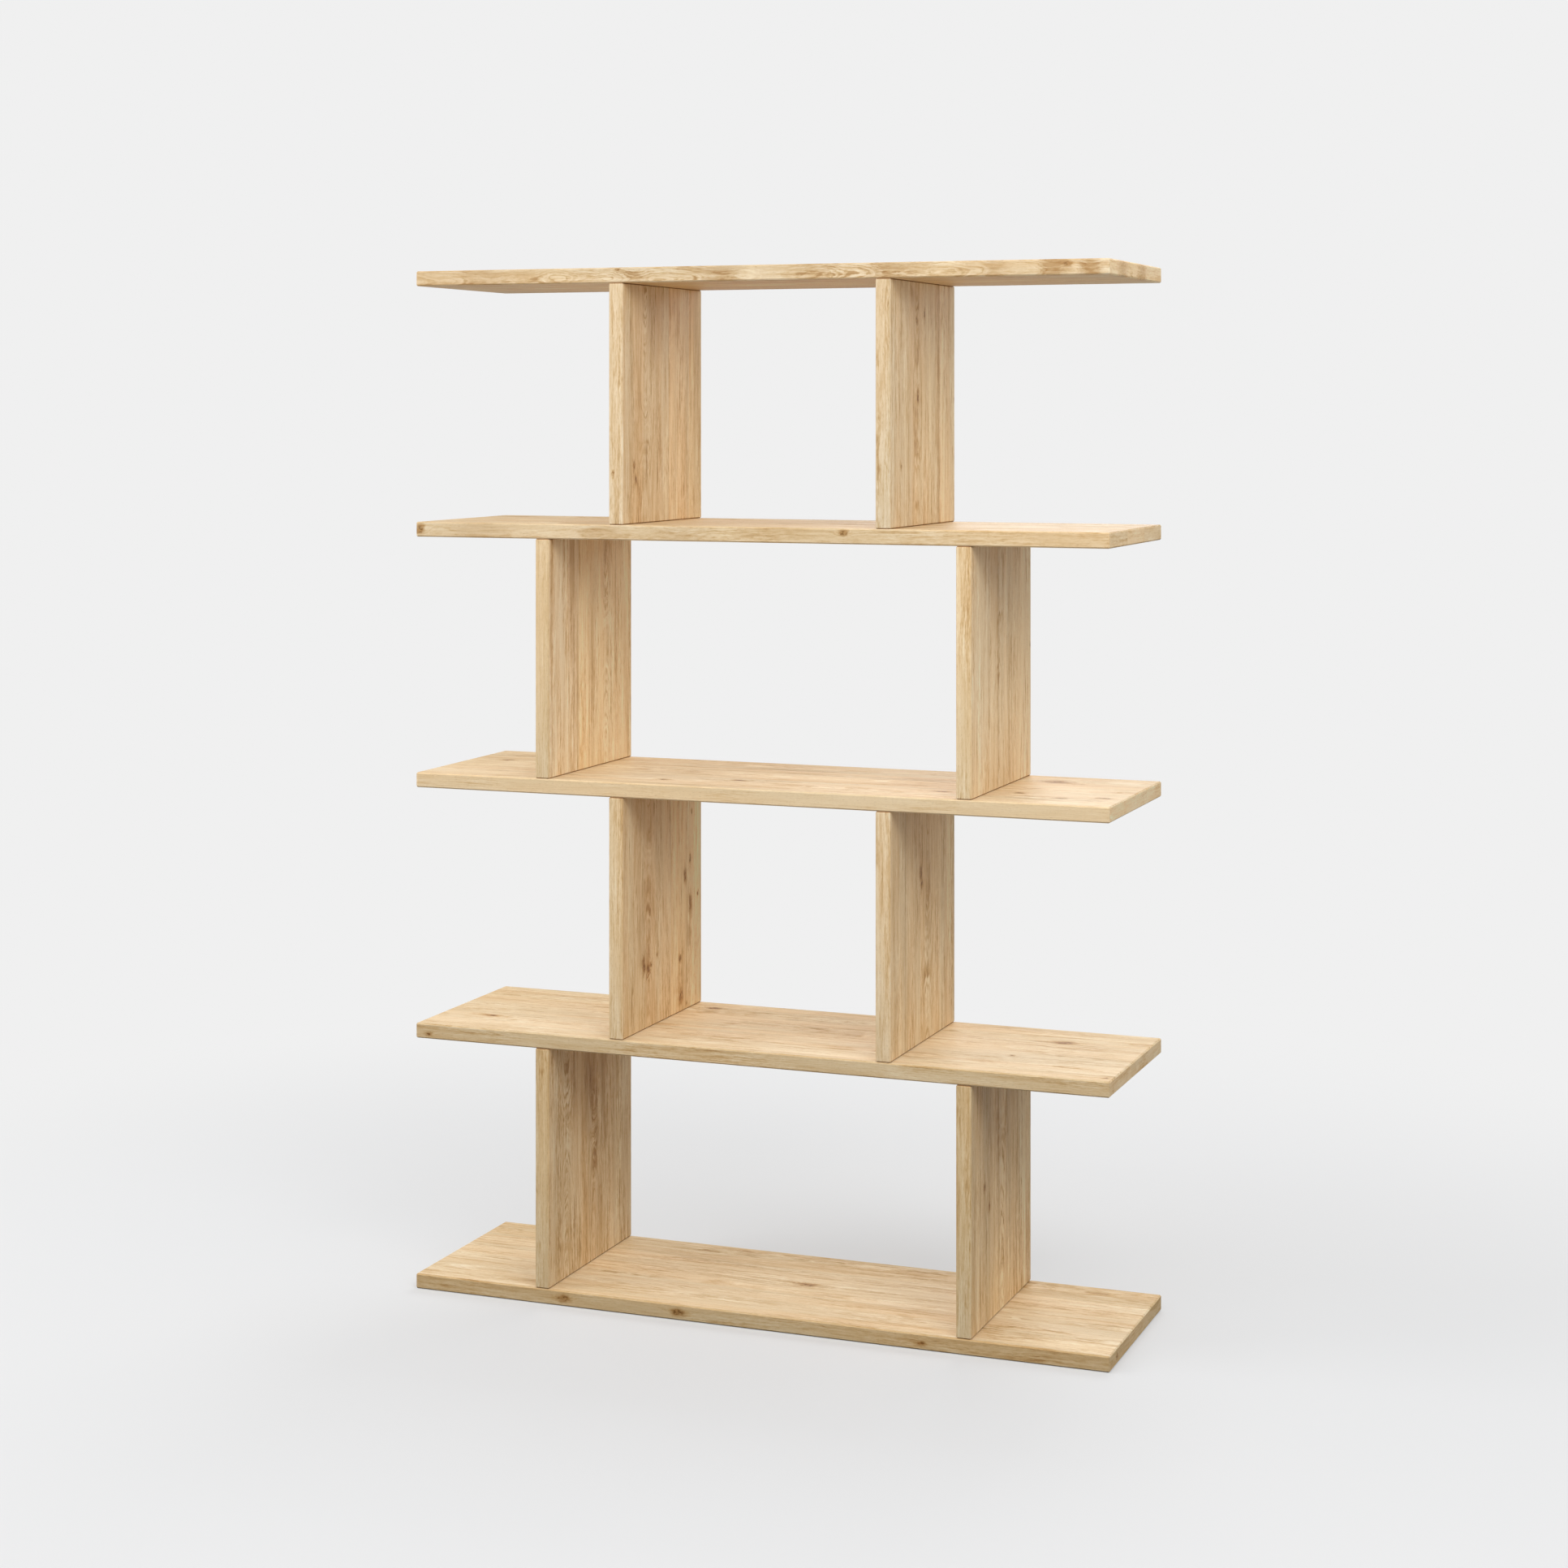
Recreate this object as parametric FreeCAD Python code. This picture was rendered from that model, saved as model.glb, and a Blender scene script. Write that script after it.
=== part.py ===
import FreeCAD, Part
import math
import os

# An open bookshelf of solid oak boards: five shelves on four storeys of uprights that step in and out.
# X runs along the shelves, Y from the front to the back and Z up, from the floor under the middle.
Vector = FreeCAD.Vector

# Boards, in millimetres
shelf_length = 1200.0
shelf_depth = 335.0
shelf_thickness = 25.0
upright_thickness = 25.0
clear_height = 397.0  # between a shelf and the one above
board_chamfer = 2.0  # eases every edge of every board

# Each pair's span is measured over the outer faces of its two uprights.
wide_span = 755.0
narrow_span = 488.0
storeys = (("first", wide_span), ("second", narrow_span), ("third", wide_span), ("fourth", narrow_span))
shelf_names = ("bottom_shelf", "second_shelf", "middle_shelf", "fourth_shelf", "top_shelf")
sides = (("left", -1), ("right", 1))

# Loose tongues, glued into stopped slots in the shelves' faces and the uprights' ends
tongue_thickness = 8.0
tongue_height = 30.0
tongue_chamfer = 0.8
slot_clearance = 0.1  # on each side of a tongue
slot_edge_distance = 35.0  # solid wood that hides the slot's ends at the front and back
shelf_slot_depth = 12.0
glue_space = 1.0  # left above each tongue

overrun = 2.0  # by which every cut passes the face that it starts from

pitch = shelf_thickness + clear_height
slot_width = tongue_thickness + 2 * slot_clearance
slot_length = shelf_depth - 2 * slot_edge_distance
tongue_length = slot_length - slot_width
upright_slot_depth = tongue_height + glue_space - shelf_slot_depth


def eased_block(size, corner, chamfer):
    """A planed block of wood with all its edges taken off."""
    blank = Part.makeBox(size.x, size.y, size.z, corner)
    return blank.makeChamfer(chamfer, blank.Edges)


def shelf_underside(level):
    return level * pitch


def storey_ends(level):
    """Heights of the two shelf faces between which a storey's uprights stand."""
    return shelf_underside(level) + shelf_thickness, shelf_underside(level + 1)


def upright_middle(span, side):
    """Where the middle of an upright's thickness stands along the shelf."""
    return side * (span - upright_thickness) / 2


def stopped_slot(x, mouth, depth):
    """A slot's cut, with the round ends that a cutter leaves: up from its mouth, or down if depth is negative."""
    past = math.copysign(overrun, depth)
    z = mouth - past
    half_width = slot_width / 2
    half_run = (slot_length - slot_width) / 2
    back_end = Part.Arc(
        Vector(x + half_width, half_run, z),
        Vector(x, half_run + half_width, z),
        Vector(x - half_width, half_run, z),
    )
    front_end = Part.Arc(
        Vector(x - half_width, -half_run, z),
        Vector(x, -half_run - half_width, z),
        Vector(x + half_width, -half_run, z),
    )
    left_wall = Part.makeLine(back_end.EndPoint, front_end.StartPoint)
    right_wall = Part.makeLine(front_end.EndPoint, back_end.StartPoint)
    outline = Part.Wire([back_end.toShape(), left_wall, front_end.toShape(), right_wall])
    return Part.Face(outline).extrude(Vector(0, 0, depth + past))


def shelf(level):
    """One shelf, slotted above for the uprights that it carries and below for those that carry it."""
    size = Vector(shelf_length, shelf_depth, shelf_thickness)
    underside = shelf_underside(level)
    top = underside + shelf_thickness
    corner = Vector(-shelf_length / 2, -shelf_depth / 2, underside)
    board = eased_block(size, corner, board_chamfer)
    slots = []
    for _, side in sides:
        if level < len(storeys):
            span_above = storeys[level][1]
            slots.append(stopped_slot(upright_middle(span_above, side), top, -shelf_slot_depth))
        if level > 0:
            span_below = storeys[level - 1][1]
            slots.append(stopped_slot(upright_middle(span_below, side), underside, shelf_slot_depth))
    return board.cut(slots)


def upright(level, span, side):
    """One upright of a storey, flush with the shelves' front and back edges."""
    x = upright_middle(span, side)
    foot, head = storey_ends(level)
    size = Vector(upright_thickness, shelf_depth, head - foot)
    corner = Vector(x - upright_thickness / 2, -shelf_depth / 2, foot)
    board = eased_block(size, corner, board_chamfer)
    return board.cut([stopped_slot(x, foot, upright_slot_depth), stopped_slot(x, head, -upright_slot_depth)])


def tongue(span, side, base):
    """One loose tongue, standing on the floor of its lower slot."""
    size = Vector(tongue_thickness, tongue_length, tongue_height)
    corner = Vector(upright_middle(span, side) - tongue_thickness / 2, -tongue_length / 2, base)
    return eased_block(size, corner, tongue_chamfer)


def main():
    os.makedirs("parts", exist_ok=True)
    nodes = {name: shelf(level) for level, name in enumerate(shelf_names)}
    for level, (storey, span) in enumerate(storeys):
        foot, head = storey_ends(level)
        for side_name, side in sides:
            name = f"{storey}_{side_name}"
            nodes[f"{name}_upright"] = upright(level, span, side)
            nodes[f"{name}_lower_tongue"] = tongue(span, side, foot - shelf_slot_depth)
            nodes[f"{name}_upper_tongue"] = tongue(span, side, head - upright_slot_depth)
    for name, shape in nodes.items():
        shape.exportStep(f"parts/{name}.step")


main()
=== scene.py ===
import math
from collections import namedtuple

import bmesh
import bpy
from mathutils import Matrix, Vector


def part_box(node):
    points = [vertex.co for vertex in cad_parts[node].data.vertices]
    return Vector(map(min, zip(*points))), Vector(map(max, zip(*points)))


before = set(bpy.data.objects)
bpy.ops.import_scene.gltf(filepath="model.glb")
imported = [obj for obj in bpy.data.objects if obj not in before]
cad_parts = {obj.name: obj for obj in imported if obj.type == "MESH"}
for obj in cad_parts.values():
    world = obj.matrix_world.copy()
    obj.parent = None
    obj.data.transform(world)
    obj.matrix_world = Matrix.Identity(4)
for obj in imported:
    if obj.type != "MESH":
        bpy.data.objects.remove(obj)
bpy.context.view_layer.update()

mm_per_metre = 1000.0

# Camera: level, to the right of the middle and turned back towards it, with the picture shifted down
camera_place = Vector((1.730, -4.499, 1.4793))
camera_turn = math.radians(21.036)
focal_length = 66.495
sensor_width = 36.0
picture_drop = 0.2385

# Studio: a dome of light, four softboxes and a round floor that fades into the backdrop, in metres and watts
backdrop_tone = 0.871
dome_above = 0.58
dome_below = 0.53
horizon = (-0.05, 0.05)
Softbox = namedtuple("Softbox", "name place width watts")
softboxes = (
    Softbox("front_softbox", (0, -2.8, 2.5), 2.2, 20.5),
    Softbox("right_softbox", (2.0, -2.0, 2.8), 1.6, 40),
    Softbox("left_softbox", (-3.0, -1.4, 2.4), 1.8, 43),
    Softbox("back_softbox", (0, 2.8, 2.6), 1.8, 41),
)
softbox_aim = Vector((0, 0, 1.0))
floor_radius = 2.4
floor_segments = 128
floor_gap = 0.0004  # below the lowest shelf
floor_tone = (0.726, 0.734, 0.746)
floor_bounce = 0.05  # the floor's tone as the wood sees it
# The backdrop's tone washes over the floor, least where the shadow is deepest and wholly at the rim.
floor_deepest = Vector((0.0, -0.25, 0.0))
floor_depth_reach = (0.1, 1.0)
floor_wash = (0.25, 0.44)
floor_fade = (1.0, 2.35)

# The boards' chamfers are eased by a small rounding, in metres.
rounding_width = 0.0007
rounding_segments = 2

# Oak colours, from the palest wood to the darkest figure, with where each stands between them
oak_tones = (
    (0.00, (0.87, 0.715, 0.48)),
    (0.30, (0.80, 0.615, 0.38)),
    (0.50, (0.745, 0.55, 0.313)),
    (0.75, (0.64, 0.427, 0.205)),
    (1.00, (0.48, 0.283, 0.113)),
)
pore_colour = (0.40, 0.24, 0.11)
palest = (0.9, 0.9, 0.9)  # no wood is paler
# What the wood's colour is multiplied by
cool_drift = (0.978, 0.996, 1.015)
warm_drift = (1.018, 0.996, 0.968)
knot_core = (0.48, 0.40, 0.28)
knot_rim = (0.70, 0.57, 0.41)
knot_halo = (0.90, 0.81, 0.66)
mark_dark = (0.68, 0.56, 0.41)
mark_pale = (1.13, 1.18, 1.24)
# painted shade in the joint, where an upright's end meets a shelf
joint_painted_shade = (0.34, 0.20, 0.10)
# lighter edges: wear, and partly a painted highlight on the chamfers
worn_and_highlit_edge = (1.06, 1.06, 1.06)
# By how much a stave's warmth adds red and takes blue
warm_red = 0.3
warm_blue = 0.7

# A noise has cells of a length along the grain and a width across it, in mm, and a weight in the figure.
Grain = namedtuple("Grain", "length width detail roughness weight", defaults=(2.0, 0.5, 1.0))

# The rings wander along the board and ripple, each by a reach in mm.
wander = Grain(170.0, 119.0)
wander_reach = 6.5
ripple = Grain(20.0, 5.0)
ripple_reach = 2.0
# Within a few mm of the heart the rings lean most along the grain, which makes the pointed figure there.
crest_reach = (4.0, 27.0)
crest_lean = (1.0, 0.25)

# Noises that follow the rings: broad bands, fine threads and the rings' uneven spacing
bands = Grain(360.0, 13.0, 4.0, 0.6, 1.1)
threads = Grain(80.0, 2.1, 3.0)
thread_reach = (4.0, 24.0)
thread_weights = (1.7, 0.7)
ring_spacing = 2.6
spacing_drift = Grain(700.0, 9.0, 1.0, 0.5, 1.6)
# Early wood is a part of each ring, from 0 to 1: where it starts and where it fades.
early_start = (0.0, 0.12)
early_stop = (0.30, 0.62)
early_shade = 0.12
early_shade_mean = 0.045

# Noises that follow the fibres
fine_streaks = Grain(180.0, 6.0, 2.0, 0.5, 0.45)
fibres = Grain(75.0, 3.6, 4.0, 0.66, 1.4)
mottling = Grain(19.0, 5.0, 2.0, 0.6, 0.5)
flecks = Grain(13.0, 2.2, 2.0, 0.6, 0.7)
broad_streaks = Grain(200.0, 8.0, 2.0, 0.5, 0.42)
swathes = Grain(480.0, 45.0, 2.0, 0.5, 0.5)
patches = Grain(150.0, 22.0, 1.0)
patch_limits = (0.32, 0.68)
patch_strengths = (0.45, 1.5)
hue_drift = Grain(600.0, 40.0, 1.0)
hue_limits = (0.35, 0.65)
pore_dots = Grain(6.0, 0.5, 1.0)
pore_limits = (0.56, 0.68)
pores_in_late_wood = 0.3
pore_strength = 0.4

# The surface: the bump's heights and its distance in metres, and the roughness
early_depth = 0.35
fibre_rise = 0.3
pore_depth = 0.8
bump_strength = 0.25
bump_distance = 0.0004
plain_roughness = 0.48
fibre_roughness = 0.12
early_roughness = 0.12
worn_roughness = 0.1
oak_specular = 0.3

# Knots and marks have ragged outlines, moved by a reach in mm along, across and through the board.
ragged = Grain(17.0, 9.0, 4.0, 0.6)
ragged_reach = (26.0, 16.0, 4.0)
fade_limits = (0.1, 1.0)
core_limits = (0.5, 1.25)
rim_limits = (0.7, 2.1)
halo_shares = (4.5, 3.2, 2.0)  # of a knot's own reach along, across and through the board
knot_bow_share = 1.1  # of a knot's size, by which the rings go round it
crumble = Grain(6.5, 4.5, 3.0)
crumble_limits = (0.42, 0.56)
cloud = Grain(16.0, 6.0, 3.0)
cloud_limits = (0.36, 0.62)
cloud_strengths = (0.25, 1.0)
mark_depth = 60.0
mark_streaks = Grain(55.0, 2.6)
mark_streak_limits = (0.3, 0.7)
mark_streak_strengths = (0.55, 1.35)

# Worn edges with a painted highlight, and the painted shade where an upright meets a shelf, in mm from the
# edge
wear_and_highlight_reach = (1.0, 4.0)
wear_and_highlight_breaks = Grain(22.0, 22.0)
wear_and_highlight_limits = (0.35, 0.6)
joint_shade_reach = (0.3, 2.2)

# Each board and each of its staves has a place of its own in the noises.
first_seed = 1.0
board_seed_step = 1.7
stave_seed_step = 0.37
seed_stride = 971.0

# Beech, with cells in mm along the frame's axes: the tongues lie along the second.
beech_pale = (0.74, 0.54, 0.36)
beech_deep = (0.62, 0.42, 0.26)
beech_fleck = (0.38, 0.22, 0.12)
beech_cloud_cell = (6.0, 40.0, 6.0)
beech_cloud_detail = 3.0
beech_cloud_limits = (0.3, 0.7)
beech_fleck_cell = (0.6, 4.0, 0.6)
beech_fleck_detail = 1.0
beech_fleck_limits = (0.58, 0.70)
beech_fleck_strength = 0.5
beech_roughness = 0.5
beech_fleck_roughness = 0.1
beech_bump_strength = 0.2
beech_bump_distance = 0.0003

# A stave of a glued board reaches across it up to edge, a share of the board's width. Its rings lean along
# the grain and circle a heart, at a share of the width and at a depth in mm from the board's middle. Its
# tone multiplies the wood's colour, its warmth adds red and takes blue, and figure is its pattern's strength.
Stave = namedtuple("Stave", "edge heart depth lean tone warmth figure", defaults=(1.0,))
# A knot lies at shares of the board's length, width and thickness. Its size across the grain and its reach
# through the board are in mm, and stretch is its length over its width.
Knot = namedtuple("Knot", "along across size stretch through reach", defaults=(1.8, 0.5, 60.0))
# A mark is a soft streak along the grain, its length and width in mm, dark where its shade is positive and
# pale where it is negative. Its bow, in mm, pushes the rings aside, which makes a wavy figure.
# Some dark marks near the top of an upright also paint shade under the shelf above.
Mark = namedtuple("Mark", "along across length width shade bow", defaults=(0.0,))
# A board's axes lie along, across and through it. Its end is the tone and the warmth of a shelf's ends.
Board = namedtuple("Board", "axes end staves knots marks")
along_shelf = ("X", "Y", "Z")
along_upright = ("Z", "Y", "X")

# The front edge is a thin first stave with grain of its own, and takes this share of the board's width.
lip = 0.007
# On a shelf's ends the grain runs along the end, about a heart of its own: across, depth in mm and lean.
end_heart = (-16.0, 5.0, 0.03)
end_figure = 0.6
end_facing = 0.8  # the least part of a face's direction along the shelf that makes it an end

boards = {
    "top_shelf": Board(along_shelf, (1.16, 0.03), [
        Stave(lip, -0.03, -6, 0.06, 0.96, -0.07),
        Stave(0.30, 0.15, -45, 0.015, 1.15, 0.06, 0.85),
        Stave(0.68, 0.50, -40, -0.015, 1.21, 0.08, 0.85),
        Stave(1.00, 0.95, -70, 0.010, 1.15, 0.04, 0.85),
    ], [
        Knot(0.311, 0.0, 1.6, 1.8, 0.85, 2.0),
        Knot(0.944, 0.0, 3.0, 1.5, 0.68, 4.0),
    ], [
        Mark(0.10, 0.0, 70, 14, 0.35, 3.5),
        Mark(0.22, 0.0, 45, 14, -0.4, -4.0),
        Mark(0.333, 0.0, 40, 14, 0.3, 6.0),
        Mark(0.46, 0.0, 60, 14, 0.5, 3.0),
        Mark(0.50, 0.0, 30, 14, -0.6, -3.0),
        Mark(0.60, 0.0, 60, 14, 0.25, -5.0),
        Mark(0.70, 0.0, 50, 14, 0.5, 5.0),
        Mark(0.78, 0.0, 40, 14, -0.5, -4.0),
        Mark(0.845, 0.0, 30, 14, 0.4, 4.0),
        Mark(0.925, 0.0, 30, 14, 1.2, 6.0),
        Mark(0.975, 0.0, 26, 14, 0.9, 5.0),
        Mark(1.0, 0.25, 12, 50, 0.8),
        Mark(1.0, 0.62, 12, 40, 0.7),
    ]),
    "fourth_shelf": Board(along_shelf, (1.11, 0.04), [
        Stave(lip, -0.06, -7, -0.04, 1.0, -0.05, 0.64),
        Stave(0.33, 0.12, -50, -0.015, 0.88, 0.08),
        Stave(0.66, 0.50, -50, 0.015, 0.88, 0.10),
        Stave(1.00, 0.85, -45, -0.012, 0.87, 0.10),
    ], [
        Knot(0.006, 0.0, 5.0, 1.3, 0.5, 6.0),
        Knot(0.6375, 0.0, 4.0, 1.2, 0.72, 4.0),
    ], [
        Mark(0.10, 0.0, 90, 14, 0.4, 4.0),
        Mark(0.28, 0.0, 60, 14, 0.35, -4.0),
        Mark(0.40, 0.0, 60, 14, 0.3, 4.0),
        Mark(0.47, 0.0, 30, 14, -0.4),
    ]),
    "middle_shelf": Board(along_shelf, (1.25, -0.04), [
        Stave(lip, -0.12, -60, 0.005, 1.13, -0.10, 0.36),
        Stave(0.36, 0.20, -60, 0.015, 1.05, -0.09, 0.9),
        Stave(0.70, 0.52, -45, -0.018, 1.03, 0.0, 0.9),
        Stave(1.00, 0.84, -35, 0.014, 1.0, 0.0, 0.9),
    ], [
        Knot(0.868, 0.785, 12.0, 1.6),
        Knot(0.4575, 0.287, 6.0, 1.4),
        Knot(0.357, 0.188, 5.0, 1.4),
        Knot(0.854, 0.337, 6.0, 1.0),
        Knot(0.751, 0.245, 5.0, 2.2),
        Knot(0.92, 0.218, 5.5, 2.0),
        Knot(0.972, 0.284, 6.0, 1.8),
        Knot(0.058, 0.63, 5.0, 2.0),
    ], [
        Mark(0.335, 0.84, 50, 7, 0.5),
        Mark(0.456, 0.275, 18, 5, 0.5),
        Mark(0.50, 0.625, 24, 5, 0.6),
        Mark(0.636, 0.573, 26, 5, 0.5),
    ]),
    "second_shelf": Board(along_shelf, (1.15, 0.01), [
        Stave(lip, -0.12, -40, 0.010, 0.955, 0.02, 0.85),
        Stave(0.40, 0.22, -55, -0.016, 1.07, -0.1, 0.85),
        Stave(0.72, 0.55, -40, 0.06, 1.09, -0.08, 0.85),
        Stave(1.00, 0.80, -40, -0.05, 1.07, 0.0, 0.85),
    ], [
        Knot(0.352, 0.866, 6.0, 1.6),
        Knot(0.885, 0.725, 9.0, 1.5),
        Knot(0.839, 0.364, 3.0),
        Knot(0.0775, 0.2985, 5.0, 2.4),
        Knot(0.99, 0.063, 3.0),
        Knot(0.02, 0.0, 2.6, 2.2, 0.3, 3.0),
    ], [
        Mark(0.86, 0.715, 60, 7, 0.8),
        Mark(0.915, 0.74, 45, 6, 0.6),
        Mark(0.36, 0.875, 36, 8, 0.6),
        Mark(0.49, 0.745, 30, 6, 0.6),
        Mark(0.495, 0.225, 36, 8, 0.5),
        Mark(0.58, 0.79, 40, 6, 0.4),
        Mark(0.82, 0.95, 150, 24, 0.25),
        Mark(0.50, 0.55, 260, 36, 0.2),
        Mark(0.50, 0.09, 500, 26, -0.4),
    ]),
    "bottom_shelf": Board(along_shelf, (0.925, 0.22), [
        Stave(lip, -0.12, -25, 0.015, 0.87, 0.11, 0.7),
        Stave(0.36, 0.20, -50, 0.015, 1.05, -0.08, 0.8),
        Stave(0.758, 0.40, -22, -0.05, 1.11, -0.08, 0.85),
        Stave(1.00, 0.90, -60, 0.012, 0.99, 0.04, 0.9),
    ], [
        Knot(0.53, 0.522, 6.5, 2.0),
        Knot(0.229, 0.0, 5.0, 1.6, 0.5, 5.0),
        Knot(0.399, 0.0, 5.0, 1.8, 0.5, 5.0),
        Knot(0.747, 0.0, 2.2, 2.2, 0.4, 3.0),
        Knot(1.0, 0.14, 5.0, 1.2, 0.5, 4.0),
    ], [
        Mark(0.575, 0.395, 45, 6, 0.6),
        Mark(0.55, 0.525, 30, 7, 0.6),
        Mark(0.33, 0.80, 140, 30, 0.3),
        Mark(0.70, 0.33, 100, 30, 0.2),
        Mark(0.94, 0.10, 110, 30, -0.6),
    ]),
    "fourth_left_upright": Board(along_upright, None, [
        Stave(lip, -0.12, -34, 0.012, 1.05, -0.13, 0.8),
        Stave(0.57, 0.27, -20, -0.16, 0.96, 0.03),
        Stave(0.83, 1.9, -30, 0.02, 1.09, 0.03),
        Stave(1.00, 1.3, -20, 0.02, 1.05, 0.15),
    ], [
        Knot(0.21, 0.0, 1.6, 1.2, 0.3, 2.0),
        Knot(0.239, 0.140, 4.0, 1.5),
        Knot(0.181, 0.158, 5.0, 1.6),
    ], [
        Mark(0.199, 0.227, 40, 9, -0.5),
        Mark(0.25, 0.29, 60, 7, 0.9),
        Mark(0.685, 0.96, 70, 14, 0.4),
        Mark(0.25, 0.53, 180, 15, -0.8),
        Mark(0.65, 0.105, 150, 11, 0.25),
        Mark(0.82, 0.37, 120, 34, 0.4),
        Mark(0.78, 0.875, 100, 9, -0.8),
    ]),
    "fourth_right_upright": Board(along_upright, None, [
        Stave(lip, -0.12, -20, 0.020, 1.0, -0.14, 0.75),
        Stave(0.36, 0.9, -35, 0.03, 1.0, -0.02),
        Stave(0.75, 0.40, -30, -0.10, 1.03, 0.04),
        Stave(1.00, 1.6, -40, 0.02, 1.12, 0.01),
    ], [
        Knot(0.844, 0.40, 4.0),
        Knot(0.866, 0.513, 3.0),
        Knot(0.529, 0.415, 4.5, 1.5),
        Knot(0.247, 0.164, 2.5),
    ], [
        Mark(0.945, 0.328, 25, 14, 0.7),
        Mark(0.32, 0.388, 45, 12, 0.4),
        Mark(0.65, 0.385, 240, 40, 0.5),
        Mark(0.4, 0.23, 270, 22, -0.6),
        Mark(0.5, 0.60, 400, 10, -0.6),
        Mark(0.5, 0.737, 600, 12, 0.8),
        Mark(0.5, 0.80, 600, 15, -1.0),
        Mark(0.511, 0.988, 8, 5, 1.0),
    ]),
    "third_left_upright": Board(along_upright, None, [
        Stave(lip, -0.12, -60, 0.004, 1.0, -0.01, 0.6),
        Stave(0.346, -0.9, -30, 0.02, 1.155, -0.1),
        Stave(1.00, 0.672, -25, 0.13, 1.13, 0.06),
    ], [], [
        Mark(0.5, 0.03, 600, 8, 0.5),
        Mark(0.78, 0.265, 210, 20, 0.7),
        Mark(0.4, 0.29, 300, 8, 0.45),
        Mark(0.5, 0.206, 600, 9, -0.5),
        Mark(0.5, 0.375, 600, 12, -0.7),
        Mark(0.4, 0.50, 190, 22, 0.4),
        Mark(0.85, 0.67, 110, 26, 0.45, 10.0),
        Mark(0.85, 0.69, 90, 12, -0.6),
        Mark(0.5, 0.80, 400, 6, 0.5),
        Mark(0.8, 0.945, 130, 18, -0.8),
    ]),
    "third_right_upright": Board(along_upright, None, [
        Stave(lip, -0.12, -30, 0.006, 1.08, -0.03, 0.85),
        Stave(0.30, 1.2, -30, 0.03, 1.13, -0.05),
        Stave(0.70, 0.45, -20, 0.10, 1.08, 0.0),
        Stave(1.00, 1.7, -40, 0.02, 1.15, -0.02),
    ], [], [
        Mark(0.5, 0.439, 600, 10, 0.6),
        Mark(0.458, 0.439, 22, 9, 0.7),
        Mark(0.244, 0.439, 22, 9, 0.7),
        # This broad dark mark near the top is painted shade under the shelf above, partly the wood's own
        # tone.
        Mark(0.86, 0.36, 150, 90, 0.3),
        Mark(0.55, 0.60, 200, 7, 0.35),
        Mark(0.35, 0.12, 250, 16, -0.6),
        Mark(0.55, 0.285, 150, 10, 0.3),
        Mark(0.552, 0.988, 10, 5, 1.0),
    ]),
    "second_left_upright": Board(along_upright, None, [
        Stave(lip, -0.12, -40, 0.010, 1.09, -0.05, 0.75),
        Stave(0.60, 0.316, -26, 0.12, 1.03, 0.01),
        Stave(1.00, 1.4, -30, 0.03, 1.15, 0.07),
    ], [
        Knot(0.29, 0.252, 3.5, 1.4),
        Knot(0.262, 0.262, 4.0, 1.4),
        Knot(0.252, 0.308, 4.5, 1.2),
        Knot(0.263, 0.345, 3.0, 1.2),
        Knot(0.295, 0.42, 2.5, 1.2),
        Knot(0.649, 0.849, 3.5, 1.5),
        Knot(0.583, 0.783, 3.0, 2.6),
        Knot(0.449, 0.853, 4.0, 2.6),
        Knot(0.233, 0.714, 4.5, 1.1),
        Knot(0.063, 0.724, 6.5, 1.6),
        Knot(0.03, 0.80, 2.5, 1.2),
        Knot(0.485, 0.948, 2.5, 1.2),
        Knot(0.85, 0.87, 2.0, 1.2),
    ], [
        Mark(0.585, 0.783, 30, 11, 1.0),
        Mark(0.445, 0.853, 36, 11, 1.0),
        Mark(0.315, 0.83, 30, 17, 0.8),
        Mark(0.28, 0.29, 40, 34, 0.7),
        Mark(0.47, 0.30, 130, 52, 0.6),
        Mark(0.13, 0.33, 80, 44, 0.4),
        Mark(0.1, 0.73, 70, 34, 0.3),
        Mark(0.6, 0.07, 300, 28, -0.8),
        Mark(0.85, 0.50, 130, 36, -0.8),
        Mark(0.7, 0.935, 210, 24, -1.2),
    ]),
    "second_right_upright": Board(along_upright, None, [
        Stave(lip, -0.12, -28, 0.015, 1.13, -0.13, 0.9),
        Stave(0.45, 1.1, -30, 0.03, 1.02, 0.0),
        Stave(1.00, 0.56, -24, -0.12, 1.05, 0.04),
    ], [
        Knot(0.698, 0.46, 5.0, 2.0),
        Knot(0.65, 0.472, 4.0, 2.0),
    ], [
        Mark(0.662, 0.531, 35, 8, -0.4),
        Mark(0.673, 0.579, 70, 7, 0.9),
        Mark(0.5, 0.222, 600, 8, 0.6),
        Mark(0.62, 0.57, 160, 30, 0.35),
        Mark(0.72, 0.47, 130, 18, 0.3),
        Mark(0.81, 0.478, 80, 7, 1.0),
        Mark(0.65, 0.915, 240, 24, -1.1),
        Mark(0.2, 0.15, 140, 14, -0.5),
    ]),
    "first_left_upright": Board(along_upright, None, [
        Stave(lip, -0.12, -36, 0.008, 0.95, 0.07, 0.9),
        Stave(0.38, 0.206, -16, 0.20, 0.955, 0.01, 1.4),
        Stave(1.00, 0.531, -16, 0.14, 0.975, 0.02, 1.3),
    ], [], [
        Mark(0.78, 0.49, 150, 36, 0.95),
        Mark(0.68, 0.53, 90, 24, 0.1, 14.0),
        Mark(0.42, 0.55, 34, 10, 0.9),
        Mark(0.2, 0.2985, 110, 6, 0.8),
        Mark(0.55, 0.03, 120, 14, -1.0),
        Mark(0.28, 0.55, 200, 46, 0.35),
        Mark(0.8, 0.29, 110, 12, 0.6),
        Mark(0.58, 0.56, 90, 12, 0.8),
        Mark(0.75, 0.64, 140, 16, 0.7),
        Mark(0.45, 0.835, 350, 18, -1.3),
    ]),
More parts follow.
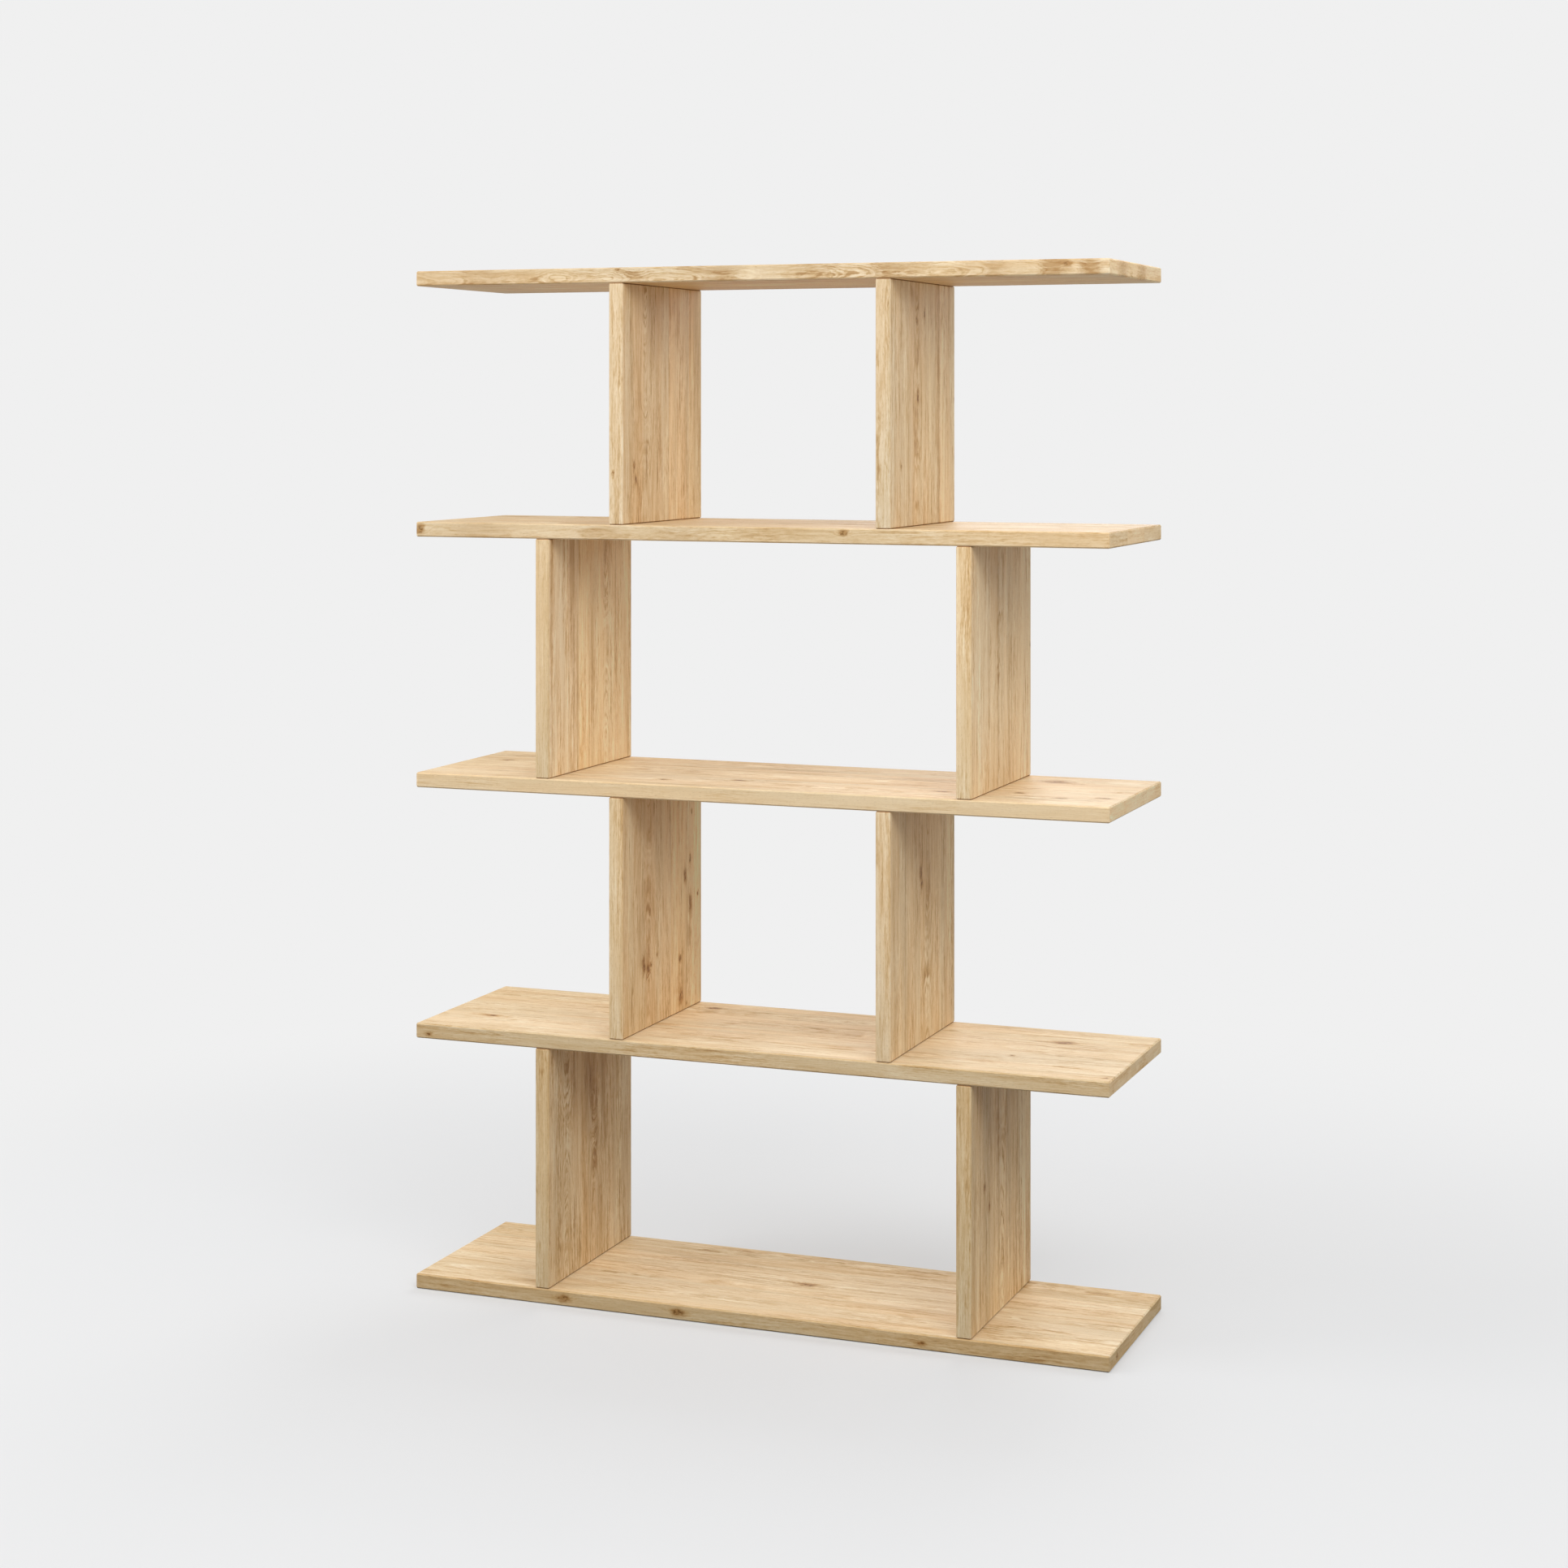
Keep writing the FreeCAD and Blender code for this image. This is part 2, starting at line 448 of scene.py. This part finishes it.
    "first_right_upright": Board(along_upright, None, [
        Stave(lip, -0.12, -30, -0.010, 0.97, 0.07),
        Stave(0.36, 0.9, -30, 0.03, 0.97, 0.03),
        Stave(1.00, 0.50, -22, 0.12, 1.04, 0.05, 1.2),
    ], [
        Knot(0.552, 0.215, 4.0),
        Knot(0.461, 0.29, 3.0),
    ], [
        Mark(0.254, 0.412, 45, 7, -0.5),
        Mark(0.5, 0.439, 600, 8, 0.5),
        Mark(0.5, 0.579, 600, 8, 0.5),
        Mark(0.4, 0.105, 220, 14, -1.3),
        # These three dark marks near the top are partly streaks in the wood and partly painted shade under
        # the shelf above.
        Mark(0.74, 0.25, 200, 46, 0.55),
        Mark(0.74, 0.43, 200, 30, 0.55),
        Mark(0.77, 0.60, 160, 20, 0.5),
        Mark(0.6, 0.635, 280, 10, 0.35),
        Mark(0.4, 0.86, 300, 36, -0.8),
        Mark(0.12, 0.45, 110, 120, -0.35),
    ]),
}


class Wiring:
    """Adds nodes to a tree and joins them: each call takes numbers or sockets, and gives back a socket."""

    def __init__(self, tree):
        self.tree = tree

    def add(self, kind, settings=None, inputs=None):
        node = self.tree.nodes.new("ShaderNode" + kind)
        for name, value in (settings or {}).items():
            setattr(node, name, value)
        for name, value in (inputs or {}).items():
            self.join(value, node.inputs[name])
        return node

    def join(self, value, socket):
        if isinstance(value, bpy.types.NodeSocket):
            self.tree.links.new(value, socket)
        elif isinstance(value, tuple) and socket.type == "RGBA":
            socket.default_value = (*value, 1.0)
        else:
            socket.default_value = value

    def maths(self, operation, *values):
        node = self.add("Math", {"operation": operation}, dict(enumerate(values)))
        return node.outputs[0]

    def vector(self, operation, *values):
        node = self.add("VectorMath", {"operation": operation}, dict(enumerate(values)))
        return node.outputs["Value" if operation == "LENGTH" else "Vector"]

    def split(self, value):
        return self.add("SeparateXYZ", None, {0: value}).outputs

    def combine(self, x, y, z):
        return self.add("CombineXYZ", None, {0: x, 1: y, 2: z}).outputs[0]

    def noise(self, place, detail=2.0, roughness=0.5):
        return self.add("TexNoise", None, {
            "Vector": place, "Scale": 1.0, "Detail": detail, "Roughness": roughness,
        }).outputs

    def grain(self, place, grain):
        """A noise's number and colour, with cells stretched along a place's first direction."""
        cells = self.vector("DIVIDE", place, (grain.length, grain.width, grain.width))
        return self.noise(cells, grain.detail, grain.roughness)

    def ease(self, value, start, end, low=0.0, high=1.0):
        return self.add("MapRange", {"interpolation_type": "SMOOTHSTEP"}, {
            "Value": value, "From Min": start, "From Max": end, "To Min": low, "To Max": high,
        }).outputs[0]

    def fade(self, value, start, end):
        return self.ease(value, start, end, 1.0, 0.0)

    def lay(self, base, noise, weight):
        """Adds a noise to a base, about the noise's middle."""
        return self.maths("MULTIPLY_ADD", self.maths("SUBTRACT", noise, 0.5), weight, base)

    def displace(self, place, noise, reach):
        """Moves a place by a noise's colour, over a reach in each direction."""
        return self.vector("MULTIPLY_ADD", self.vector("SUBTRACT", noise, (0.5, 0.5, 0.5)), reach, place)

    def number(self, factor, first, second):
        return self.add("Mix", {"data_type": "FLOAT"}, {0: factor, 2: first, 3: second}).outputs[0]

    def direction(self, factor, first, second):
        return self.add("Mix", {"data_type": "VECTOR"}, {0: factor, 4: first, 5: second}).outputs[1]

    def colour(self, blend, factor, first, second):
        node = self.add("Mix", {"data_type": "RGBA", "blend_type": blend}, {0: factor, 6: first, 7: second})
        return node.outputs[2]

    def blend(self, factor, first, second):
        return self.colour("MIX", factor, first, second)


class Figure(Wiring):
    """Oak's rings about a heart, as a solid that each face of a board cuts."""

    takes = {"Place": "Vector", "Heart": "Vector", "Bow": "Float", "Seed": "Float", "Figure": "Float"}
    gives = {"Colour": "Color", "Height": "Float", "Roughness": "Float"}

    def __init__(self, tree):
        super().__init__(tree)
        for way, sockets in (("INPUT", self.takes), ("OUTPUT", self.gives)):
            for name, kind in sockets.items():
                tree.interface.new_socket(name, in_out=way, socket_type="NodeSocket" + kind)
        self.given = tree.nodes.new("NodeGroupInput").outputs
        self.result = tree.nodes.new("NodeGroupOutput").inputs
        stride = self.maths("MULTIPLY", self.given["Seed"], seed_stride)
        self.seeded = self.vector("ADD", self.given["Place"], self.combine(stride, 0.0, 0.0))
        self.set_rings()

    def set_rings(self):
        """Finds how far a point lies aside of the heart, and how far out among the rings."""
        sway = 2 * wander_reach
        swayed = self.displace(self.given["Place"], self.grain(self.seeded, wander)[1], (0.0, sway, sway))
        place = self.split(swayed)
        heart = self.split(self.given["Heart"])
        across = self.maths("SUBTRACT", place[1], heart[0])
        deep = self.maths("SUBTRACT", place[2], heart[1])
        radius = self.vector("LENGTH", self.combine(across, deep, 0.0))
        self.aside = self.maths("ABSOLUTE", across)
        lean = self.maths("MULTIPLY", heart[2], self.ease(self.aside, *crest_reach, *crest_lean))
        leaning = self.maths("MULTIPLY_ADD", place[0], lean, radius)
        bowed = self.maths("ADD", leaning, self.given["Bow"])
        self.ring = self.lay(bowed, self.fibrous(ripple), 2 * ripple_reach)

    def fibrous(self, grain):
        return self.grain(self.seeded, grain)[0]

    def ringed(self, grain):
        """A noise that follows the rings."""
        along = self.maths("DIVIDE", self.split(self.seeded)[0], grain.length)
        outward = self.maths("DIVIDE", self.ring, grain.width)
        place = self.combine(outward, along, self.given["Seed"])
        return self.noise(place, grain.detail, grain.roughness)[0]


def early_wood(w):
    """1 in the early part of each ring."""
    drift = w.ringed(spacing_drift)
    turn = w.maths("MULTIPLY_ADD", drift, spacing_drift.weight, w.maths("DIVIDE", w.ring, ring_spacing))
    season = w.maths("FRACT", turn)
    return w.maths("MULTIPLY", w.ease(season, *early_start), w.fade(season, *early_stop))


def pore_mask(w, early):
    """Short dark dots, most of them in early wood."""
    dots = w.ease(w.fibrous(pore_dots), *pore_limits)
    density = w.maths("MULTIPLY_ADD", early, 1 - pores_in_late_wood, pores_in_late_wood)
    return w.maths("MULTIPLY", dots, density)


def figure_shade(w, early, fibre):
    """How dark the figure is, about 0: fine lines, stronger in some patches, over broad bands."""
    lines = w.maths("MULTIPLY_ADD", early, early_shade, -early_shade_mean)
    lines = w.lay(lines, w.ringed(threads), w.ease(w.aside, *thread_reach, *thread_weights))
    lines = w.lay(lines, w.fibrous(fine_streaks), fine_streaks.weight)
    lines = w.lay(lines, fibre, fibres.weight)
    for grain in (mottling, flecks):
        lines = w.lay(lines, w.fibrous(grain), grain.weight)
    shade = w.maths("MULTIPLY", lines, w.ease(w.fibrous(patches), *patch_limits, *patch_strengths))
    shade = w.lay(shade, w.ringed(bands), bands.weight)
    for grain in (broad_streaks, swathes):
        shade = w.lay(shade, w.fibrous(grain), grain.weight)
    return shade


def oak_ramp(w, shade):
    """The oak colour for a shade from 0 to 1."""
    ramp = w.add("ValToRGB", None, {0: shade})
    stops = ramp.color_ramp.elements
    while len(stops) < len(oak_tones):
        stops.new(0.5)
    for stop, (position, tone) in zip(stops, oak_tones):
        stop.position = position
        stop.color = (*tone, 1.0)
    return ramp.outputs[0]


def figure_group():
    """The node group that all boards share: gives oak's colour, height and roughness."""
    tree = bpy.data.node_groups.new("oak_figure", "ShaderNodeTree")
    w = Figure(tree)
    early = early_wood(w)
    fibre = w.fibrous(fibres)
    pores = pore_mask(w, early)

    shade = figure_shade(w, early, fibre)
    wood = oak_ramp(w, w.maths("MULTIPLY_ADD", shade, w.given["Figure"], 0.5))
    drift = w.blend(w.ease(w.fibrous(hue_drift), *hue_limits), cool_drift, warm_drift)
    drifted = w.colour("MULTIPLY", 1.0, wood, drift)
    w.join(w.blend(w.maths("MULTIPLY", pores, pore_strength), drifted, pore_colour), w.result["Colour"])

    low = w.maths("MULTIPLY_ADD", early, -early_depth, 1.0)
    rise = w.maths("MULTIPLY_ADD", fibre, fibre_rise, low)
    w.join(w.maths("MULTIPLY_ADD", pores, -pore_depth, rise), w.result["Height"])
    rough = w.maths("MULTIPLY_ADD", fibre, fibre_roughness, plain_roughness)
    w.join(w.maths("MULTIPLY_ADD", early, early_roughness, rough), w.result["Roughness"])
    return tree


class BoardWood(Wiring):
    """One board's material, by places along, across and through the board in mm from its middle."""

    def __init__(self, tree, name, axes):
        super().__init__(tree)
        low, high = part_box(name)
        order = ["XYZ".index(axis) for axis in axes]
        self.size = Vector([mm_per_metre * (high - low)[axis] for axis in order])
        middle = (low + high) / 2
        source = self.add("TexCoord").outputs["Object"]
        shifted = self.split(self.vector("SUBTRACT", source, tuple(middle)))
        turned = self.combine(*(shifted[axis] for axis in order))
        self.place = self.vector("MULTIPLY", turned, (mm_per_metre,) * 3)
        self.sides = self.split(self.place)
        self.ragged_place = self.displace(self.place, self.grain(self.place, ragged)[1], ragged_reach)
        inset = self.vector("SUBTRACT", tuple(self.size / 2), self.vector("ABSOLUTE", self.place))
        self.margins = self.split(inset)

    def at(self, along, across, through=0.5):
        """The place of shares of the board's length, width and thickness."""
        return tuple((share - 0.5) * side for share, side in zip((along, across, through), self.size))

    def spot(self, centre, reach):
        """Ragged distance from a centre, as a share of a reach along, across and through the board."""
        away = self.vector("SUBTRACT", self.ragged_place, centre)
        return self.vector("LENGTH", self.vector("DIVIDE", away, reach))

    def speckle(self, grain, limits, strengths=(0.0, 1.0)):
        return self.ease(self.grain(self.place, grain)[0], *limits, *strengths)

    def by_stave(self, pick, staves, values):
        """The value of the stave that a point lies in."""
        chosen = values[0]
        for stave, value in zip(staves, values[1:]):
            past = self.maths("GREATER_THAN", self.sides[1], (stave.edge - 0.5) * self.size.y)
            chosen = pick(past, chosen, value)
        return chosen


def tint_of(tone, warmth):
    return (tone * (1 + warm_red * warmth), tone, tone * (1 - warm_blue * warmth))


def knot_masks(w, knots):
    """Where the knots' cores, rims and halos are, and by how much the knots push the rings aside."""
    core = 0.0
    rim = 0.0
    halo = 0.0
    bow = 0.0
    for knot in knots:
        centre = w.at(knot.along, knot.across, knot.through)
        reach = (knot.size * knot.stretch, knot.size, knot.reach)
        tight = w.spot(centre, reach)
        loose = w.spot(centre, tuple(share * side for share, side in zip(halo_shares, reach)))
        around = w.fade(loose, *fade_limits)
        core = w.maths("MAXIMUM", core, w.fade(tight, *core_limits))
        rim = w.maths("MAXIMUM", rim, w.fade(tight, *rim_limits))
        halo = w.maths("MAXIMUM", halo, around)
        bow = w.maths("MULTIPLY_ADD", around, knot_bow_share * knot.size, bow)
    return core, rim, halo, bow


def mark_masks(w, marks, bow):
    """Where the marks are dark and pale, and a bow of the rings with theirs added."""
    dark = 0.0
    pale = 0.0
    for mark in marks:
        away = w.spot(w.at(mark.along, mark.across), (mark.length, mark.width, mark_depth))
        inside = w.fade(away, *fade_limits)
        if mark.shade > 0:
            dark = w.maths("MULTIPLY_ADD", inside, mark.shade, dark)
        else:
            pale = w.maths("MULTIPLY_ADD", inside, -mark.shade, pale)
        if mark.bow:
            bow = w.maths("MULTIPLY_ADD", inside, mark.bow, bow)
    return dark, pale, bow


def stave_wood(w, board, figure, seed, bow):
    """The figure of each stave about its own heart, and the tint of each."""
    staves = board.staves
    hearts = [((stave.heart - 0.5) * w.size.y, float(stave.depth), stave.lean) for stave in staves]
    heart = w.by_stave(w.direction, staves, hearts)
    tint = w.by_stave(w.blend, staves, [tint_of(stave.tone, stave.warmth) for stave in staves])
    seeds = [seed + stave_seed_step * number for number in range(len(staves))]
    own_seed = w.by_stave(w.number, staves, seeds)
    strength = w.by_stave(w.number, staves, [stave.figure for stave in staves])
    place = w.place
    if board.axes == along_shelf:
        facing = w.split(w.add("TexCoord").outputs["Normal"])
        end = w.maths("GREATER_THAN", w.maths("ABSOLUTE", facing[0]), end_facing)
        place = w.direction(end, place, w.combine(w.sides[1], w.sides[2], w.sides[0]))
        heart = w.direction(end, heart, end_heart)
        strength = w.number(end, strength, end_figure)
        tint = w.blend(end, tint, tint_of(*board.end))
    wood = w.add("Group", {"node_tree": figure}, {
        "Place": place, "Heart": heart, "Bow": bow, "Seed": own_seed, "Figure": strength,
    })
    return wood.outputs, tint


def wear_and_highlight_mask(w):
    """1 on an edge, fading over the few mm beside it and broken up along it: wear, and partly a painted
    highlight.
    """
    along, across, through = w.margins
    least = w.maths("MINIMUM", along, across)
    most = w.maths("MAXIMUM", along, across)
    to_edge = w.maths("MAXIMUM", least, w.maths("MINIMUM", most, through))
    breaks = w.ease(w.grain(w.ragged_place, wear_and_highlight_breaks)[0], *wear_and_highlight_limits)
    return w.maths("MULTIPLY", w.fade(to_edge, *wear_and_highlight_reach), breaks)


def new_material(name):
    material = bpy.data.materials.new(name)
    material.use_nodes = True
    return material


def oak_material(name, board, figure, seed):
    """Oak with the staves, knots and marks of one board."""
    material = new_material("oak_" + name)
    w = BoardWood(material.node_tree, name, board.axes)
    core, rim, halo, bow = knot_masks(w, board.knots)
    dark, pale, bow = mark_masks(w, board.marks, bow)
    wood, tint = stave_wood(w, board, figure, seed, bow)
    worn_and_highlit = wear_and_highlight_mask(w)
    streaky = w.speckle(mark_streaks, mark_streak_limits, mark_streak_strengths)
    cloudy = w.speckle(cloud, cloud_limits, cloud_strengths)
    crumbling = w.speckle(crumble, crumble_limits)
    layers = [
        (1.0, tint),
        (w.maths("MULTIPLY", dark, streaky), mark_dark),
        (pale, mark_pale),
        (w.maths("MULTIPLY", halo, cloudy), knot_halo),
        (rim, knot_rim),
        (w.maths("MULTIPLY", core, crumbling), knot_core),
        # Edges are lightened: wear, and partly a painted highlight.
        (worn_and_highlit, worn_and_highlit_edge),
    ]
    # Uprights get painted shade along their ends, in the joint where they meet a shelf.
    if board.axes == along_upright:
        layers.append((w.fade(w.margins[0], *joint_shade_reach), joint_painted_shade))
    colour = wood["Colour"]
    for strength, layer in layers:
        colour = w.colour("MULTIPLY", strength, colour, layer)

    shader = material.node_tree.nodes["Principled BSDF"].inputs
    w.join(w.vector("MINIMUM", colour, palest), shader["Base Color"])
    w.join(w.maths("MULTIPLY_ADD", worn_and_highlit, worn_roughness, wood["Roughness"]), shader["Roughness"])
    shader["Specular IOR Level"].default_value = oak_specular
    bump = w.add("Bump", None, {
        "Height": wood["Height"], "Strength": bump_strength, "Distance": bump_distance,
    })
    w.join(bump.outputs[0], shader["Normal"])
    return material


def beech_material():
    """Pale pinkish wood, with the short dark flecks of beech."""
    material = new_material("beech")
    w = Wiring(material.node_tree)
    place = w.vector("MULTIPLY", w.add("TexCoord").outputs["Object"], (mm_per_metre,) * 3)
    clouds = w.noise(w.vector("DIVIDE", place, beech_cloud_cell), beech_cloud_detail)[0]
    dots = w.noise(w.vector("DIVIDE", place, beech_fleck_cell), beech_fleck_detail)[0]
    flecked = w.ease(dots, *beech_fleck_limits)
    body = w.blend(w.ease(clouds, *beech_cloud_limits), beech_pale, beech_deep)
    colour = w.blend(w.maths("MULTIPLY", flecked, beech_fleck_strength), body, beech_fleck)

    shader = material.node_tree.nodes["Principled BSDF"].inputs
    w.join(colour, shader["Base Color"])
    w.join(w.maths("MULTIPLY_ADD", flecked, beech_fleck_roughness, beech_roughness), shader["Roughness"])
    bump = w.add("Bump", None, {
        "Height": clouds, "Strength": beech_bump_strength, "Distance": beech_bump_distance,
    })
    w.join(bump.outputs[0], shader["Normal"])
    return material


def dress(piece, material):
    piece.data.materials.clear()
    piece.data.materials.append(material)


def dress_tongues():
    beech = beech_material()
    for name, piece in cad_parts.items():
        if name.endswith("_tongue"):
            dress(piece, beech)


def dress_boards():
    figure = figure_group()
    for number, (name, board) in enumerate(boards.items()):
        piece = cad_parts[name]
        dress(piece, oak_material(name, board, figure, first_seed + board_seed_step * number))
        rounding = piece.modifiers.new("rounding", "BEVEL")
        rounding.limit_method = "ANGLE"
        rounding.width = rounding_width
        rounding.segments = rounding_segments


def link(thing):
    bpy.context.scene.collection.objects.link(thing)
    return thing


def make_camera():
    data = bpy.data.cameras.new("camera")
    data.lens = focal_length
    data.sensor_width = sensor_width
    data.shift_y = -picture_drop
    camera = link(bpy.data.objects.new("camera", data))
    camera.location = camera_place
    camera.rotation_euler = (math.pi / 2, 0, camera_turn)
    bpy.context.scene.camera = camera


def seen_by(w):
    """1 for a ray that shows the backdrop: straight from the camera, off gloss or through glass."""
    path = w.add("LightPath").outputs
    straight = w.maths("MAXIMUM", path["Is Camera Ray"], path["Is Glossy Ray"])
    return w.maths("MAXIMUM", straight, path["Is Transmission Ray"])


def make_world():
    """A dome of light, which shows as the plain backdrop."""
    world = bpy.data.worlds.new("studio")
    world.use_nodes = True
    world.node_tree.nodes.clear()
    w = Wiring(world.node_tree)
    upward = w.split(w.add("TexCoord").outputs["Generated"])[2]
    level = w.ease(upward, *horizon, dome_below, dome_above)
    dome = w.add("Background", None, {"Color": w.combine(level, level, level)})
    backdrop = w.add("Background", None, {"Color": (backdrop_tone,) * 3})
    mix = w.add("MixShader", None, {0: seen_by(w), 1: dome.outputs[0], 2: backdrop.outputs[0]})
    w.add("OutputWorld", None, {"Surface": mix.outputs[0]})
    bpy.context.scene.world = world


def floor_material():
    """A pale floor that keeps its shadow, washed by the backdrop's tone more and more towards the rim."""
    material = new_material("floor")
    material.node_tree.nodes.clear()
    w = Wiring(material.node_tree)
    pale = w.add("BsdfDiffuse", None, {"Color": floor_tone})
    far = w.add("Emission", None, {"Color": (backdrop_tone,) * 3})
    place = w.add("TexCoord").outputs["Object"]
    from_deepest = w.vector("LENGTH", w.vector("SUBTRACT", place, tuple(floor_deepest)))
    wash = w.ease(from_deepest, *floor_depth_reach, *floor_wash)
    fade = w.ease(w.vector("LENGTH", place), *floor_fade, wash, 1.0)
    shown = w.add("MixShader", None, {0: fade, 1: pale.outputs[0], 2: far.outputs[0]})
    dim = w.add("BsdfDiffuse", None, {"Color": (floor_bounce,) * 3})
    mix = w.add("MixShader", None, {0: seen_by(w), 1: dim.outputs[0], 2: shown.outputs[0]})
    w.add("OutputMaterial", None, {"Surface": mix.outputs[0]})
    return material


def make_floor():
    mesh = bpy.data.meshes.new("floor")
    form = bmesh.new()
    bmesh.ops.create_circle(form, cap_ends=True, segments=floor_segments, radius=floor_radius)
    form.to_mesh(mesh)
    form.free()
    floor = link(bpy.data.objects.new("floor", mesh))
    floor.location.z = -floor_gap
    mesh.materials.append(floor_material())


def make_softbox(box):
    data = bpy.data.lights.new(box.name, "AREA")
    data.shape = "SQUARE"
    data.size = box.width
    data.energy = box.watts
    lamp = link(bpy.data.objects.new(box.name, data))
    lamp.location = box.place
    lamp.rotation_euler = (softbox_aim - lamp.location).to_track_quat("-Z", "Y").to_euler()
    lamp.visible_camera = False


make_camera()
make_world()
make_floor()
for softbox in softboxes:
    make_softbox(softbox)
dress_boards()
dress_tongues()

bpy.context.scene.view_settings.view_transform = "Standard"
